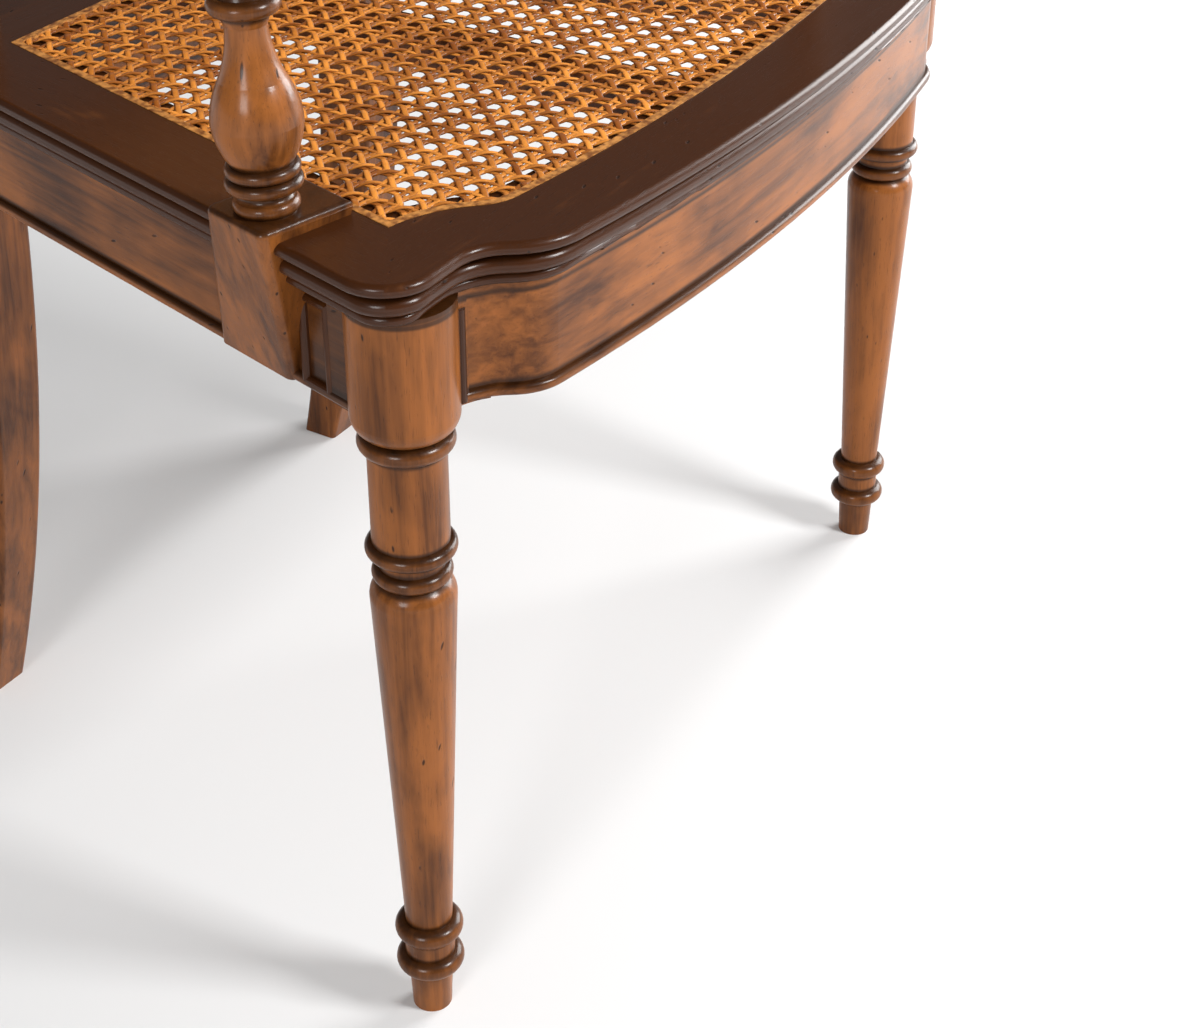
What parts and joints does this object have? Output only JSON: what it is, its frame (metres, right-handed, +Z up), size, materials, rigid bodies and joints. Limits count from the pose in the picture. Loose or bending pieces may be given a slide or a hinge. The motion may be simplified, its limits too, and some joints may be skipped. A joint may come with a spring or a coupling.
{
  "type": "dining armchair",
  "caption": "Wooden dining armchair with turned front legs, bowed moulded seat frame, woven cane seat and back, open arms on turned supports.",
  "frame": {"origin": "on the floor under the middle of the chair's width and depth", "axes": "+Z up, the sitter faces -Y, +X to the sitter's left"},
  "size_m": [0.6388, 0.5474, 0.9958],
  "materials": {
    "stained_wood": "warm mid-brown stain with a darker glaze in the recesses, satin lacquer, small dents",
    "raw_wood": "planed hardwood under a thin coat of the same stain",
    "cane": "honey-coloured rattan strands, glossy outer skin",
    "reed": "pale reed spline glued into its groove",
    "screw_steel": "plain zinc-plated wood screws"
  },
  "bodies": {
    "root": {"front_leg_left": "stained_wood", "front_leg_right": "stained_wood", "rear_leg_left": "stained_wood", "rear_leg_right": "stained_wood", "front_rail": "stained_wood", "side_rail_left": "stained_wood", "side_rail_right": "stained_wood", "rear_rail": "stained_wood", "seat_brace": "raw_wood", "seat_frame_front": "stained_wood", "seat_frame_left": "stained_wood", "seat_frame_right": "stained_wood", "seat_frame_rear": "stained_wood", "mitre_dowels": "raw_wood", "corner_block_front_left": "raw_wood", "corner_block_front_right": "raw_wood", "corner_block_rear_left": "raw_wood", "corner_block_rear_right": "raw_wood", "corner_block_screws": "screw_steel", "seat_frame_screws": "screw_steel", "seat_cane": "cane", "seat_spline": "reed", "arm_support_left": "stained_wood", "arm_support_right": "stained_wood", "arm_support_screws": "screw_steel", "arm_left": "stained_wood", "arm_right": "stained_wood", "arm_screws": "screw_steel", "crest_rail": "stained_wood", "back_rail": "stained_wood", "back_cane": "cane", "back_spline": "reed"}
  },
  "joints": []
}
